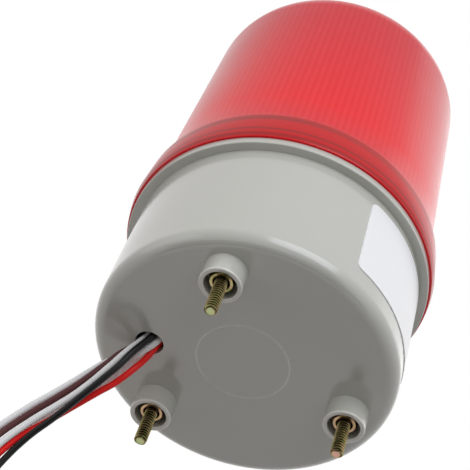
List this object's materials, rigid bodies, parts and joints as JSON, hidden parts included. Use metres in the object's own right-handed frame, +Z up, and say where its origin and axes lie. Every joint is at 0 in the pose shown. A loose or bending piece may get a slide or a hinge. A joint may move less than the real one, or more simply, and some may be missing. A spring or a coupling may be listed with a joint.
{
  "type": "rotating warning beacon",
  "caption": "Rotating warning beacon: fluted red dome lens screwed on a round grey cup base with threaded mounting studs, flying leads and a motor-driven reflector round a bulb.",
  "frame": {"origin": "centre of the stud circle in the plane of the three boss ends, which is the surface that the beacon stands on", "axes": "+Z up along the lens axis from the studs to the dome's top; -Y towards the single stud of the three; -X towards the lead outlet"},
  "size_m": [0.1406, 0.1024, 0.2831],
  "materials": {
    "grey_abs": "satin moulded",
    "red_lens_plastic": "clear red, polished outside, fluted inside",
    "yellow_zinc_steel": "yellow passivated zinc",
    "black_rubber": "matt",
    "white_label_film": "satin film",
    "zinc_steel": "bright zinc",
    "nickel_steel": "nickel plated",
    "brown_phenolic": "moulded",
    "brass": "turned",
    "lamp_glass": "clear",
    "white_nylon": "moulded",
    "bright_reflector": "metallised",
    "spring_steel": "oiled black",
    "green_laminate": "lacquered",
    "blue_sleeve": "shrink sleeve",
    "black_epoxy": "moulded",
    "white_pvc": "soft, slightly glossy",
    "brown_pvc": "soft, slightly glossy",
    "black_pvc": "soft, slightly glossy",
    "red_pvc": "soft, slightly glossy",
    "tinned_copper": "tinned"
  },
  "bodies": {
    "housing": {"base_housing": "grey_abs", "mounting_studs": "yellow_zinc_steel", "stud_washers": "yellow_zinc_steel", "stud_nuts": "yellow_zinc_steel", "lens": "red_lens_plastic", "lens_gasket": "black_rubber", "rating_label": "white_label_film", "chassis_plate": "zinc_steel", "plate_screws": "zinc_steel", "lamp_holder": "nickel_steel", "holder_screws": "zinc_steel", "contact_insulator": "brown_phenolic", "centre_contact": "brass", "bulb": "lamp_glass", "thrust_washer": "white_nylon", "retaining_ring": "spring_steel", "motor": "zinc_steel", "motor_screws": "zinc_steel", "circuit_board": "green_laminate", "board_screws": "zinc_steel", "capacitor": "blue_sleeve", "rectifier": "black_epoxy", "lead_white_rear": "white_pvc", "lead_brown": "brown_pvc", "lead_white_mid": "white_pvc", "lead_black": "black_pvc", "lead_white_front": "white_pvc", "lead_red": "red_pvc", "lead_ends": "tinned_copper"},
    "rotor": {"drive_gear": "white_nylon", "reflector": "bright_reflector", "reflector_screws": "zinc_steel"},
    "pinion": {"motor_shaft": "nickel_steel", "motor_pinion": "brass"}
  },
  "joints": [
    {"name": "reflector_spin", "type": "hinge", "parent": "housing", "child": "rotor", "pos_m": [0, 0, 0.0525], "axis": [0, 0, 1], "continuous": true},
    {"name": "pinion_spin", "type": "hinge", "parent": "housing", "child": "pinion", "pos_m": [0.02507, 0.01447, 0.0525], "axis": [0, 0, 1], "continuous": true}
  ],
  "couplings": [
    {"joint": "pinion_spin", "follows": "reflector_spin", "ratio": -5}
  ]
}
